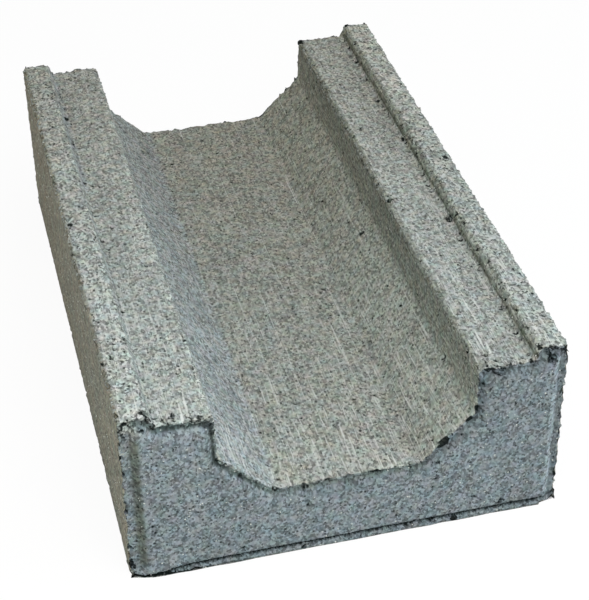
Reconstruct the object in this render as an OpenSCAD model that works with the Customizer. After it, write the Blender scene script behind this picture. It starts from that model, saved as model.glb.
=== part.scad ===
// Cable channel paver: one cast concrete block with an open channel along its top.
// The origin is the middle of the underside. +Y runs along the channel, +Z is up.

/* [Block] */
// Width of the block across the channel
block_w = 250; // [232:1:400]
// Length of the block between its two end faces, without the end pads
block_l = 394; // [150:1:1000]
// Height of the block from the underside to the top of the rims
block_h = 112; // [90:1:200]

/* [Rims and cover seat] */
// Width of the flat top of each rim
rim_w = 17.5; // [14:0.5:25]
// Depth of the cover seat below the top of the rims
seat_depth = 7.5; // [4:0.5:15]
// How far the step from rim to seat leans out over its depth
step_run = 3; // [1:0.5:6]
// Width of the seat ledge that carries a cover on each side
ledge_w = 31.5; // [20:0.5:38]

/* [Channel] */
// Depth of the upright part of each channel wall, below the ledge
wall_depth = 30; // [15:0.5:45]
// How far each upright wall leans in over its depth, so that the block leaves its mould
wall_draft = 1; // [0.5:0.5:4]
// Depth of the sloped lower part of each channel wall
slope_depth = 28.5; // [10:0.5:35]
// Run of the sloped lower part of each channel wall towards the middle
slope_run = 30; // [10:0.5:38]

/* [Edges] */
// Radius of the rounded edge between ledge and channel wall
ledge_edge_r = 5; // [1:0.5:8]
// Radius of the two top edges of each rim
rim_edge_r = 1.5; // [0.5:0.5:3]
// Radius in the corner where the step meets the ledge
seat_root_r = 1.5; // [0.5:0.5:4]
// Radius in the corners where wall, slope and floor of the channel meet
channel_root_r = 4; // [1:0.5:10]

/* [End pads] */
// How far the raised pad on each end face stands proud
pad_proud = 3; // [1:0.5:6]
// Width of the bare strip between the pad and each side face
pad_side_gap = 5.5; // [2:0.5:8]
// Width of the bare strip between the pad and the outline of rims, ledges and channel
pad_top_gap = 2.5; // [1:0.5:4]
// Run of the slanted flank round the pad
pad_flank_run = 4; // [2:0.5:4.5]
// Height of the thin cast lip along the foot of each pad
foot_lip_h = 3.5; // [2:0.5:8]
// How far the foot lip stands out in front of the pad
foot_lip_out = 1; // [0.5:0.5:3]

/* [Hidden] */

// Half widths and heights of the section, worked out from the sizes above
half_w = block_w / 2;
rim_inner_x = half_w - rim_w;
ledge_outer_x = rim_inner_x - step_run;
ledge_inner_x = ledge_outer_x - ledge_w;
slope_top_x = ledge_inner_x - wall_draft;
floor_half_w = slope_top_x - slope_run;
ledge_z = block_h - seat_depth;
slope_top_z = ledge_z - wall_depth;
floor_z = slope_top_z - slope_depth;

// Straight steps that stand for each rounded corner of the section
arc_steps = 6;
// Largest share of an edge that the rounding at one of its ends may take
edge_share = 0.45;
// Colour of the concrete
concrete = [0.56, 0.58, 0.56];

// Sharp corners of the right half of the section, from the underside up and in to the floor
right_corners = [
    [half_w, 0],
    [half_w, block_h],
    [rim_inner_x, block_h],
    [ledge_outer_x, ledge_z],
    [ledge_inner_x, ledge_z],
    [slope_top_x, slope_top_z],
    [floor_half_w, floor_z]
];
right_count = len(right_corners);
corner_count = 2 * right_count;

// All corners of the section, with the left half mirrored from the right one
corners = [
    for (i = [0 : corner_count - 1])
        i < right_count
            ? right_corners[i]
            : [-right_corners[corner_count - 1 - i][0], right_corners[corner_count - 1 - i][1]]
];

// Radius of each corner of the right half of the section
right_radii = [0, rim_edge_r, rim_edge_r, seat_root_r, ledge_edge_r, channel_root_r, channel_root_r];

// Radius of corner i of the whole section
function corner_radius(i) = i < right_count ? right_radii[i] : right_radii[corner_count - 1 - i];

// Unit vector along edge i, from corner i to the next one
function edge_direction(i) =
    let (step = corners[(i + 1) % corner_count] - corners[i])
    step / norm(step);

// Unit vector across edge i, into the concrete
function edge_inward(i) =
    let (along = edge_direction(i))
    [-along[1], along[0]];

// Inset of edge i: the two side faces, the underside, or the outline of rims and channel
function edge_inset(i, side_inset, top_inset) =
    i == corner_count - 1 ? 0
    : i == 0 || i == corner_count - 2 ? side_inset
    : top_inset;

// Corner i after the edges on both sides of it have moved inwards
function inset_corner(i, side_inset, top_inset) =
    let (
        before = (i + corner_count - 1) % corner_count,
        a = corners[i] + edge_inward(before) * edge_inset(before, side_inset, top_inset),
        b = corners[i] + edge_inward(i) * edge_inset(i, side_inset, top_inset),
        along_a = edge_direction(before),
        along_b = edge_direction(i),
        gap = b - a,
        travel = (gap[0] * along_b[1] - gap[1] * along_b[0]) / cross(along_a, along_b)
    )
    a + along_a * travel;

// Points of corner i of a closed outline, rounded with its radius as far as its edges leave room
function rounded_corner(outline, i) =
    let (
        back = outline[i] - outline[(i + corner_count - 1) % corner_count],
        ahead = outline[(i + 1) % corner_count] - outline[i],
        along_a = back / norm(back),
        along_b = ahead / norm(ahead),
        side = cross(along_a, along_b) > 0 ? 1 : -1,
        angle = acos(along_a * along_b),
        room = edge_share * min(norm(back), norm(ahead)),
        r = min(corner_radius(i), room / tan(angle / 2)),
        tangent_point = outline[i] - along_a * r * tan(angle / 2),
        centre = tangent_point + [-along_a[1], along_a[0]] * side * r,
        start = atan2(-along_a[0] * side, along_a[1] * side)
    )
    r == 0
        ? [outline[i]]
        : [
            for (k = [0 : arc_steps])
                let (theta = start + side * angle * k / arc_steps)
                centre + r * [cos(theta), sin(theta)]
        ];

// Outline of the section, with its sides and its top moved inwards
function section_outline(side_inset = 0, top_inset = 0) =
    let (outline = [for (i = [0 : corner_count - 1]) inset_corner(i, side_inset, top_inset)])
    [
        for (i = [0 : corner_count - 1])
            for (point = rounded_corner(outline, i))
                point
    ];

// Ring of points across the block at one Y: the outline, and on both sides a point at the lip's height
function ring(y, side_inset, top_inset) =
    let (
        outline = section_outline(side_inset, top_inset),
        last = len(outline) - 1,
        lip_rise = [0, foot_lip_h],
        right_foot = [outline[0], outline[0] + lip_rise],
        top = [for (k = [1 : last - 1]) outline[k]],
        left_foot = [outline[last] + lip_rise, outline[last]]
    )
    [for (p = concat(right_foot, top, left_foot)) [p[0], y, p[1]]];

// Number of points in a ring, the last of them, and the first one of the left half
ring_size = len(ring(0, 0, 0));
last = ring_size - 1;
middle = ring_size / 2;

// Place of point k of ring r in the list of all points
function at(r, k) = r * ring_size + k;

// Triangles of the end face inside ring r: a fan from each foot of the pad, and one between them
function end_face(r) = concat(
    [for (k = [2 : middle - 1]) [at(r, 1), at(r, k), at(r, k + 1)]],
    [[at(r, 1), at(r, middle), at(r, last - 1)]],
    [for (k = [middle : last - 3]) [at(r, last - 1), at(r, k), at(r, k + 1)]]
);

// Front corners of the foot lip: right foot, right top, left top, left foot
function lip_corners(y) =
    let (x = half_w - pad_side_gap - pad_flank_run)
    [[x, y, 0], [x, y, foot_lip_h], [-x, y, foot_lip_h], [-x, y, 0]];

// The whole block, cast as one piece: a skin over rings from the pad at -Y to the pad at +Y
module channel_block() {
    half_l = block_l / 2;
    pad_y = half_l + pad_proud;
    lip_y = pad_y + foot_lip_out;
    face_side = pad_side_gap + pad_flank_run;
    face_top = pad_top_gap + pad_flank_run;
    rings = [
        ring(-pad_y, face_side, face_top),
        ring(-half_l, pad_side_gap, pad_top_gap),
        ring(-half_l, 0, 0),
        ring(half_l, 0, 0),
        ring(half_l, pad_side_gap, pad_top_gap),
        ring(pad_y, face_side, face_top)
    ];
    near_lip = at(len(rings), 0);
    far_lip = near_lip + len(lip_corners(0));
    points = concat([for (r = rings) each r], lip_corners(-lip_y), lip_corners(lip_y));

    skin = [
        for (r = [0 : len(rings) - 2])
            for (k = [0 : last - 1])
                [at(r, k), at(r, k + 1), at(r + 1, k + 1), at(r + 1, k)]
    ];
    near_end = [
        for (f = end_face(0)) [f[2], f[1], f[0]],
        [at(0, 1), at(0, 0), near_lip, near_lip + 1],
        [at(0, last - 1), at(0, 1), near_lip + 1, near_lip + 2],
        [near_lip + 2, near_lip + 1, near_lip, near_lip + 3],
        [at(0, last - 1), near_lip + 2, near_lip + 3, at(0, last)]
    ];
    far_end = [
        each end_face(5),
        [at(5, 0), at(5, 1), far_lip + 1, far_lip],
        [far_lip + 1, at(5, 1), at(5, last - 1), far_lip + 2],
        [far_lip, far_lip + 1, far_lip + 2, far_lip + 3],
        [at(5, last), far_lip + 3, far_lip + 2, at(5, last - 1)]
    ];
    underside = [
        [near_lip, at(0, 0), at(0, last), near_lip + 3],
        [at(0, 0), at(1, 0), at(1, last), at(0, last)],
        [at(1, 0), at(2, 0), at(3, 0), at(4, 0)],
        [at(1, 0), at(4, 0), at(4, last), at(1, last)],
        [at(4, last), at(3, last), at(2, last), at(1, last)],
        [at(4, 0), at(5, 0), at(5, last), at(4, last)],
        [at(5, 0), far_lip, far_lip + 3, at(5, last)]
    ];
    color(concrete)
        polyhedron(points = points, faces = concat(skin, near_end, far_end, underside));
}

channel_block();
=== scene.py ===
"""Dresses a cable channel paver: one block of dry-cast concrete with an open channel along its top.

Lengths are in metres, unless a name ends in _mm. The frame is the part's own: +Y runs along the
channel, away from the end that the camera sees, +Z is up, and the origin is the middle of the underside.
"""

import logging
import math
from dataclasses import dataclass, field
from enum import Enum

import bpy
import numpy as np
from mathutils import Matrix, Vector, kdtree, noise
from mathutils.geometry import delaunay_2d_cdt


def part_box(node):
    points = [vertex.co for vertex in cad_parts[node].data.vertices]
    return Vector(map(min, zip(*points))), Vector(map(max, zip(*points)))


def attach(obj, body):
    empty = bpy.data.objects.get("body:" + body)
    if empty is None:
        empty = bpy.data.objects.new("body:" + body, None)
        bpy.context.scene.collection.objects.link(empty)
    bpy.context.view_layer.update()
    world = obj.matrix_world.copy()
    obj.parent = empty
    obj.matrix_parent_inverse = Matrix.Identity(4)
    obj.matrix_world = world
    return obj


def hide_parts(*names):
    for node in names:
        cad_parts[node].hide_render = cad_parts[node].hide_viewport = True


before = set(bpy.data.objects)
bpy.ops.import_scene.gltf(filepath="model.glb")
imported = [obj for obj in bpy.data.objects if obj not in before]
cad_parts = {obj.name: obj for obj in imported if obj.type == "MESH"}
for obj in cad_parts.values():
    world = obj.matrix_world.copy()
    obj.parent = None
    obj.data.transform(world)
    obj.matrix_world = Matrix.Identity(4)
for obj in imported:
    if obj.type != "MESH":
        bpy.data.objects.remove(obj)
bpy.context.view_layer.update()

LOG = logging.getLogger("channel_paver")
MM = 0.001
BODY = "root"
NODE = "channel_block"


class Region(Enum):
    """Which stretch of the block's skin a point lies on."""

    END = -1
    UNDERSIDE = 0
    SIDE = 1
    RIM = 2
    STEP = 3
    LEDGE = 4
    WALL = 5
    SLOPE = 6
    FLOOR = 7


# Shared helpers


def linear_colour(hex_code: str) -> tuple[float, float, float, float]:
    """Turns an sRGB hex colour to linear.

    Args:
        hex_code: Six hex digits, with or without a leading #.

    Returns:
        Linear red, green and blue, and an alpha of 1.
    """
    digits = hex_code.lstrip("#")
    channels = [int(digits[i : i + 2], 16) / 255 for i in (0, 2, 4)]
    linear = [c / 12.92 if c <= 0.04045 else ((c + 0.055) / 1.055) ** 2.4 for c in channels]
    return (*linear, 1.0)


def add_node(tree: bpy.types.NodeTree, kind: str, inputs: dict | None = None, **settings) -> bpy.types.Node:
    """Adds a node with its settings, values and links.

    Args:
        tree: The tree that gets the node.
        kind: The node's type name.
        inputs: Values or sockets for the node's inputs, by name or number.
        settings: Values for the node's own properties.

    Returns:
        The new node.
    """
    node = tree.nodes.new(kind)
    for name, value in settings.items():
        setattr(node, name, value)
    for key, value in (inputs or {}).items():
        if isinstance(value, bpy.types.NodeSocket):
            tree.links.new(value, node.inputs[key])
        else:
            node.inputs[key].default_value = value
    return node


def noise_at(points: np.ndarray, size_mm: tuple[float, float, float] | float, seed: float) -> np.ndarray:
    """Smooth noise at many points.

    Args:
        points: Points in metres, one a row.
        size_mm: Size of the pattern, one value or one for each axis.
        seed: Offset that keeps this pattern apart from the others.

    Returns:
        One value from about -1 to 1 for each point.
    """
    scaled = points / (np.asarray(size_mm) * MM) + seed * np.array([17.3, 31.7, 11.9])
    return np.array([noise.noise(p) for p in scaled.tolist()])


def smooth_step(values: np.ndarray, low: float, high: float) -> np.ndarray:
    """Rises smoothly from 0 at low to 1 at high."""
    share = np.clip((values - low) / (high - low), 0.0, 1.0)
    return share * share * (3 - 2 * share)


# The block's form


@dataclass(frozen=True)
class Face:
    """Look of one stretch of the skin.

    Attributes:
        tone: Colour painted on that stretch: the paste's own, with painted light and shade in part.
        openness: How open and grainy the skin is, from 0 to 1.
        streaks: How much the mould has streaked it, from 0 to 1.
    """

    tone: str
    openness: float
    streaks: float


# The steps' dark tone is painted shade; the ends' blue-grey and the sides' olive are partly the paste's own and partly
# painted lamp tints.
FACES = {
    Region.END: Face("#6d7679", 0.75, 0.0),
    Region.UNDERSIDE: Face("#7f837c", 0.7, 0.0),
    Region.SIDE: Face("#6f7063", 0.6, 0.08),
    Region.RIM: Face("#888e88", 0.9, 0.3),
    Region.STEP: Face("#565b52", 0.7, 0.8),
    Region.LEDGE: Face("#8a908a", 0.68, 0.35),
    Region.WALL: Face("#858a83", 0.55, 1.0),
    Region.SLOPE: Face("#888e8a", 0.62, 0.18),
    Region.FLOOR: Face("#868b83", 0.62, 0.3),
}
# Painted shade on the left flank of each pad, which faces away from the right lamp
LEFT_FLANK_SHADE = "#525953"
SHADED_STRIP = "#6a7371"


@dataclass(frozen=True)
class Inset:
    """How far a ring of the block stands in from its section's outline.

    Attributes:
        side: Inset of the two side faces.
        top: Inset of the rims, steps, ledges, walls, slopes and floor.
        y_out: How far the ring stands out past the flat of the end.
    """

    side: float
    top: float
    y_out: float


@dataclass(frozen=True)
class Damage:
    """One chip, pit or worn place, carved by a ragged ball.

    Attributes:
        x_mm: Place of the ball's centre across the block.
        y_mm: Place along it, from the middle.
        z_mm: Height above the underside.
        radius_mm: Radius of the ball.
        dark: How much painted shade lies in the broken place, from 0 to 1.
    """

    x_mm: float
    y_mm: float
    z_mm: float
    radius_mm: float
    dark: float = 1.0


@dataclass
class Section:
    """The block's cross section: two rims, stepped cover seats, walls, slopes and a flat floor.

    Attributes:
        width: Width of the block.
        height: Height of the block.
    """

    width: float
    height: float
    rim_w: float = 17.5 * MM
    seat_depth: float = 7.5 * MM
    step_run: float = 3.0 * MM
    ledge_w: float = 31.5 * MM
    wall_depth: float = 30.0 * MM
    wall_draft: float = 1.0 * MM
    slope_depth: float = 28.5 * MM
    slope_run: float = 30.0 * MM
    arris_r: float = 1.5 * MM
    root_r: float = 1.5 * MM
    ledge_edge_r: float = 2.5 * MM
    channel_root_r: float = 4.0 * MM
    inset_softening: float = 1.5
    arc_steps: int = 4
    edge_share: float = 0.45
    regions: list[Region] = field(default_factory=list)
    corner_weight: list[float] = field(default_factory=list)
    _edge_cuts: list[int] = field(default_factory=list)

    def right_corners(self) -> list[tuple[float, float, float, Region, float]]:
        """Corners of the right half: x, z, radius, the region that follows, and spacing along it."""
        rim_x = self.width / 2 - self.rim_w
        ledge_x = rim_x - self.step_run
        wall_x = ledge_x - self.ledge_w
        slope_x = wall_x - self.wall_draft
        seat_z = self.height - self.seat_depth
        slope_z = seat_z - self.wall_depth
        return [
            (self.width / 2, 0.0, 0.6 * MM, Region.SIDE, 1.9 * MM),
            (self.width / 2, self.height, self.arris_r, Region.RIM, 1.7 * MM),
            (rim_x, self.height, self.arris_r, Region.STEP, 1.6 * MM),
            (ledge_x, seat_z, self.root_r, Region.LEDGE, 1.9 * MM),
            (wall_x, seat_z, self.ledge_edge_r, Region.WALL, 2.0 * MM),
            (slope_x, slope_z, self.channel_root_r, Region.SLOPE, 2.0 * MM),
            (slope_x - self.slope_run, slope_z - self.slope_depth, self.channel_root_r, Region.FLOOR, 2.1 * MM),
        ]

    def corners(self) -> tuple[np.ndarray, np.ndarray, list[Region], np.ndarray]:
        """All corners round the section, with each one's radius, following region and spacing."""
        right = self.right_corners()
        left = [
            (-right[i][0], right[i][1], right[i][2], right[i - 1][3] if i else Region.UNDERSIDE,
             right[i - 1][4] if i else 8.0 * MM)
            for i in range(len(right) - 1, -1, -1)
        ]
        rows = right + left
        places = np.array([row[:2] for row in rows])
        return places, np.array([row[2] for row in rows]), [row[3] for row in rows], np.array([r[4] for r in rows])

    def inset_corners(self, side: float, top: float) -> np.ndarray:
        """Corners after the side faces have moved in by side and all above by top."""
        places, _, following, _ = self.corners()
        step = np.roll(places, -1, axis=0) - places
        along = step / np.linalg.norm(step, axis=1)[:, None]
        inward = np.c_[-along[:, 1], along[:, 0]]
        moved = {Region.UNDERSIDE: 0.0, Region.SIDE: side}
        amount = np.array([moved.get(region, top) for region in following])
        result = []
        for i in range(len(places)):
            before = i - 1
            a = places[i] + inward[before] * amount[before]
            gap = places[i] + inward[i] * amount[i] - a
            turn = along[before][0] * along[i][1] - along[before][1] * along[i][0]
            travel = (gap[0] * along[i][1] - gap[1] * along[i][0]) / turn
            result.append(a + along[before] * travel)
        return np.array(result)

    def outline(self, side: float = 0.0, top: float = 0.0) -> np.ndarray:
        """Points round the section, in the same number for every inset.

        Args:
            side: Inset of the side faces.
            top: Inset of everything above them.

        Returns:
            Points across (x, z), from the right foot up and round to the left one.
        """
        _, radii, following, spacing = self.corners()
        radii = radii + (radii > self.root_r) * self.inset_softening * top
        places = self.inset_corners(side, top)
        count = len(places)
        arcs = [self._arc(places, radii, i) for i in range(count)]
        first_time = not self._edge_cuts
        points: list[np.ndarray] = []
        for i, arc in enumerate(arcs):
            start, end = arc[-1], arcs[(i + 1) % count][0]
            if first_time:
                cuts = max(1, round(float(np.linalg.norm(end - start) / spacing[i])))
                self._edge_cuts.append(cuts)
                sharp = 0.0 if following[i - 1] is following[i] else self._sharpness(places, i)
                self.regions += [following[i]] * (len(arc) + cuts - 1)
                self.corner_weight += [sharp] * len(arc) + [0.0] * (cuts - 1)
            cuts = self._edge_cuts[i]
            points += list(arc)
            points += [start + (end - start) * (k / cuts) for k in range(1, cuts)]
        return np.array(points)

    def _sharpness(self, places: np.ndarray, i: int) -> float:
        """1 at an outward edge of the concrete, 0 in a corner that is filled."""
        back = places[i] - places[i - 1]
        ahead = places[(i + 1) % len(places)] - places[i]
        return 1.0 if back[0] * ahead[1] - back[1] * ahead[0] > 0 else 0.0

    def _arc(self, places: np.ndarray, radii: np.ndarray, i: int) -> np.ndarray:
        """Points of the rounding at corner i."""
        back = places[i] - places[i - 1]
        ahead = places[(i + 1) % len(places)] - places[i]
        room = self.edge_share * min(np.linalg.norm(back), np.linalg.norm(ahead))
        back, ahead = back / np.linalg.norm(back), ahead / np.linalg.norm(ahead)
        side = 1.0 if back[0] * ahead[1] - back[1] * ahead[0] > 0 else -1.0
        angle = math.acos(max(-1.0, min(1.0, float(back @ ahead))))
        radius = min(float(radii[i]), room / math.tan(angle / 2))
        start = places[i] - back * radius * math.tan(angle / 2)
        centre = start + np.array([-back[1], back[0]]) * side * radius
        first = math.atan2(-back[0] * side, back[1] * side)
        turns = [first + side * angle * k / self.arc_steps for k in range(self.arc_steps + 1)]
        return np.array([centre + radius * np.array([math.cos(t), math.sin(t)]) for t in turns])


@dataclass
class CastBlock:
    """The block itself, with its end pads, ragged arrises, pores, chips and drag marks.

    Attributes:
        low: Lowest corner of the block's box.
        high: Highest corner of the block's box.
    """

    low: Vector
    high: Vector
    lip_out: float = 1.0 * MM
    lip_h: float = 3.0 * MM
    pad_proud: float = 3.0 * MM
    pad_side_gap: float = 5.5 * MM
    pad_top_gap: float = 2.5 * MM
    pad_flank_run: float = 4.0 * MM
    pad_side_flank_run: float = 5.6 * MM
    end_arris_r: float = 1.2 * MM
    crease_depth: float = 0.9 * MM
    ring_spacing: float = 2.15 * MM
    end_ring_spacing: float = 1.3 * MM
    graded_run: float = 22.0 * MM
    cap_spacing: float = 2.2 * MM
    skin_room: float = 0.35 * MM
    seed: int = 41
    section: Section = field(init=False)

    def __post_init__(self) -> None:
        """Takes the section's outer sizes from the frame."""
        self.section = Section(width=self.high.x - self.low.x, height=self.high.z - self.low.z)

    @property
    def half_length(self) -> float:
        """Half the block's length between the flats of its ends."""
        return (self.high.y - self.low.y) / 2 - self.lip_out - self.pad_proud

    def end_insets(self) -> list[Inset]:
        """Insets of the rings from the end's arris to the pad's face."""
        r = self.end_arris_r
        turns = [math.radians(a) for a in (30, 60, 90)]
        rounding = [Inset(r * (1 - math.cos(a)), r * (1 - math.cos(a)), r * (math.sin(a) - 1)) for a in turns]
        strip = [
            Inset(r + (self.pad_side_gap - r) * s, r + (self.pad_top_gap - r) * s, y_out)
            for s, y_out in ((0.4, 0.0), (0.72, -0.3 * self.crease_depth), (1.0, -self.crease_depth))
        ]
        flank = [
            Inset(
                self.pad_side_gap + self.pad_side_flank_run * s,
                self.pad_top_gap + self.pad_flank_run * s,
                self.pad_proud * rise,
            )
            for s, rise in ((0.12, -0.1), (0.34, 0.3), (0.62, 0.74), (0.84, 0.95), (1.0, 1.0))
        ]
        return rounding + strip + flank

    def ring_places(self) -> np.ndarray:
        """Places of the rings along the body, closer together near both ends."""
        reach = self.half_length - self.end_arris_r
        places = [-reach]
        while places[-1] < 0:
            from_end = places[-1] + reach
            grow = min(1.0, from_end / self.graded_run)
            places.append(places[-1] + self.end_ring_spacing + (self.ring_spacing - self.end_ring_spacing) * grow)
        left = np.array(places[:-1])
        return np.concatenate([left, -left[::-1]])

    def cap_points(self, boundary: np.ndarray, rng: np.random.Generator) -> np.ndarray:
        """Points inside the pad's face: even rows near the foot, and a jittered grid above.

        Args:
            boundary: The pad's outline, (x, z).
            rng: Source of the jitter.

        Returns:
            Points (x, z) that keep clear of the outline.
        """
        step = self.cap_spacing
        low, high = boundary.min(axis=0), boundary.max(axis=0)
        foot_rows = [0.5 * MM, 1.3 * MM, 2.2 * MM, 3.0 * MM, 3.5 * MM, 4.1 * MM, 5.2 * MM]
        rows = [(z, 1.7 * MM, 0.12) for z in foot_rows]
        z = foot_rows[-1] + step * 0.8
        while z < high[1]:
            rows.append((z, step, 0.28))
            z += step * 0.87
        found = []
        for i, (z, spacing, jitter) in enumerate(rows):
            xs = np.arange(low[0] + (i % 2) * spacing / 2, high[0], spacing)
            row = np.c_[xs, np.full(len(xs), z)]
            wobble = rng.uniform(-jitter, jitter, row.shape) * spacing
            wobble[:, 1] *= 0.25 if i < len(foot_rows) else 1.0
            found.append(row + wobble)
        points = np.concatenate(found)
        start, end = boundary, np.roll(boundary, -1, axis=0)
        span = end - start
        offset = points[:, None, :] - start[None, :, :]
        share = np.clip((offset * span).sum(-1) / np.maximum((span * span).sum(-1), 1e-12), 0, 1)
        nearest = np.linalg.norm(offset - share[..., None] * span, axis=-1)
        crosses = (start[:, 1] > points[:, 1:2]) != (end[:, 1] > points[:, 1:2])
        rise = np.where(span[:, 1] == 0, 1e-12, span[:, 1])
        at_x = start[:, 0] + (points[:, 1:2] - start[:, 1]) / rise * span[:, 0]
        inside = (crosses & (points[:, :1] < at_x)).sum(axis=1) % 2 == 1
        clear_side = nearest.copy()
        flat_foot = (start[:, 1] < 1e-6) & (end[:, 1] < 1e-6)
        clear_side[:, flat_foot] += 1.0
        clear = clear_side.min(axis=1) > 0.45 * step
        return points[inside & clear]

    def build(self) -> bpy.types.Object:
        """Makes the block's closed mesh with all its wear.

        Returns:
            The finished object, at the origin.
        """
        rng = np.random.default_rng(self.seed)
        insets = self.end_insets()
        places = self.ring_places()
        flat_y = self.half_length
        rings = [(-flat_y - i.y_out, i.side, i.top) for i in reversed(insets)]
        rings += [(y, 0.0, 0.0) for y in places]
        rings += [(flat_y + i.y_out, i.side, i.top) for i in insets]
        self.section.outline()
        layers = []
        for y, side, top in rings:
            flat = self.section.outline(side, top)
            layers.append(np.c_[flat[:, 0], np.full(len(flat), y), flat[:, 1]])
        ring_size = len(layers[0])
        points = np.concatenate(layers)
        first = np.arange(len(rings) - 1)[:, None] * ring_size + np.arange(ring_size)[None, :]
        following = np.arange(len(rings) - 1)[:, None] * ring_size + (np.arange(ring_size) + 1)[None, :] % ring_size
        quads = np.stack([first, first + ring_size, following + ring_size, following], axis=-1).reshape(-1, 4)
        faces = [tuple(q) for q in quads.tolist()]
        for ring_index, outward in ((0, -1), (len(rings) - 1, 1)):
            base = ring_index * ring_size
            boundary = layers[ring_index][:, [0, 2]]
            inner = self.cap_points(boundary, rng)
            start = len(points)
            y = np.full(len(inner), layers[ring_index][0, 1])
            points = np.concatenate([points, np.c_[inner[:, 0], y, inner[:, 1]]])
            faces += self._cap_faces(boundary, inner, base, start, outward)
        mesh = bpy.data.meshes.new("cast_block")
        mesh.from_pydata(points.tolist(), [], faces)
        mesh.update()
        regions = np.array([r.value for r in self.section.regions])
        sharp = np.array(self.section.corner_weight)
        cap_count = len(points) - len(rings) * ring_size
        edge_of = np.concatenate([np.tile(regions, len(rings)), np.full(cap_count, Region.END.value)])
        ring_of = np.concatenate([np.repeat(np.arange(len(rings)), ring_size), np.zeros(cap_count, int)])
        on_end = (ring_of < len(insets)) | (ring_of >= len(rings) - len(insets))
        region_of = np.where(on_end & (points[:, 2] > 0.05 * MM), Region.END.value, edge_of)
        sharp_of = np.concatenate([np.tile(sharp, len(rings)), np.zeros(len(points) - len(rings) * ring_size)])
        self._weather(mesh, region_of, edge_of, sharp_of, rng)
        block = bpy.data.objects.new("cast_block", mesh)
        bpy.context.scene.collection.objects.link(block)
        return block

    def _cap_faces(
        self, boundary: np.ndarray, inner: np.ndarray, base: int, start: int, outward: int
    ) -> list[tuple[int, ...]]:
        """Triangles that fill the pad's face.

        Args:
            boundary: The pad's outline, (x, z).
            inner: Points inside it, (x, z).
            base: Number of the outline's first vertex in the mesh.
            start: Number of the first inner vertex in the mesh.
            outward: 1 for the face that looks along +Y, -1 for the other.

        Returns:
            Faces as vertex numbers, all facing outwards.
        """
        flat = [Vector(p) for p in (np.concatenate([boundary, inner]) / MM).tolist()]
        loop = list(range(len(boundary)))
        made = delaunay_2d_cdt(flat, [], [loop], 1, 1e-6)
        sources = [ids[0] if ids else -1 for ids in made[3]]
        faces = []
        for face in made[2]:
            numbers = [sources[v] for v in face]
            a, b, c = (made[0][v] for v in face)
            turn = (b - a).cross(c - a)
            # Seen from +Y, x runs to the left, so an outward face there turns clockwise in (x, z)
            if turn * outward > 0:
                numbers.reverse()
            faces.append(tuple(base + n if n < len(boundary) else start + n - len(boundary) for n in numbers))
        return faces

    def _weather(
        self,
        mesh: bpy.types.Mesh,
        region_of: np.ndarray,
        edge_of: np.ndarray,
        sharp_of: np.ndarray,
        rng: np.random.Generator,
    ) -> None:
        """Gives the clean form its open-pored skin, worn arrises, chips and ragged foot lip.

        Args:
            mesh: The clean mesh, changed in place.
            region_of: Region number of each vertex, -1 on the ends.
            edge_of: Region number of the section's outline at each vertex of the ends too.
            sharp_of: 1 where a vertex lies on an outward edge that runs along the block.
            rng: Source of the chips' places and sizes.
        """
        count = len(mesh.vertices)
        points = np.empty(count * 3)
        mesh.vertices.foreach_get("co", points)
        points = points.reshape(-1, 3)
        normals = np.empty(count * 3)
        mesh.vertex_normals.foreach_get("vector", normals)
        normals = normals.reshape(-1, 3)
        rest = points.copy()

        arris = self._arris_share(rest, sharp_of)
        underside = rest[:, 2] < 0.05 * MM
        channel = np.isin(region_of, [r.value for r in (Region.LEDGE, Region.WALL, Region.SLOPE, Region.FLOOR)])
        move = -self.skin_room * np.ones(count)
        move += 0.22 * MM * noise_at(rest, 60, 1)
        move += 0.16 * MM * noise_at(rest, 19, 2)
        fine = np.where(region_of == Region.END.value, 0.6, 1.0)
        move += 0.15 * MM * fine * noise_at(rest, 6.5, 3)
        move += 0.13 * MM * fine * noise_at(rest, 3.1, 4)
        move += channel * 0.16 * MM * noise_at(rest, (3.4, 70, 3.4), 5)
        move += (region_of == Region.SIDE.value) * 0.4 * MM * noise_at(rest, 5.5, 13)
        ragged = np.clip(0.3 + 1.1 * noise_at(rest, 2.7, 6) + 0.6 * noise_at(rest, 9, 7), 0, 2)
        rough_end = 1 + 0.6 * (np.abs(rest[:, 1]) > self.half_length - 3 * MM)
        move -= arris * ragged * rough_end * 0.9 * MM
        move[underside] = 0.0
        points += normals * move[:, None]
        from_right = self.section.width / 2 - rest[:, 0]
        wider_pad = smooth_step(from_right, 1.2 * MM, 5.0 * MM) * (1 - smooth_step(from_right, 12 * MM, 32 * MM))
        points[:, 0] += 1.4 * MM * wider_pad * (np.abs(rest[:, 1]) > self.half_length - self.crease_depth * 1.1) * (rest[:, 2] > 0.05 * MM) * (region_of == Region.END.value)
        self._shape_lip(rest, points)

        # Painted shade in the creases round the pads and above the foot lips; the chips below add theirs
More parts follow.
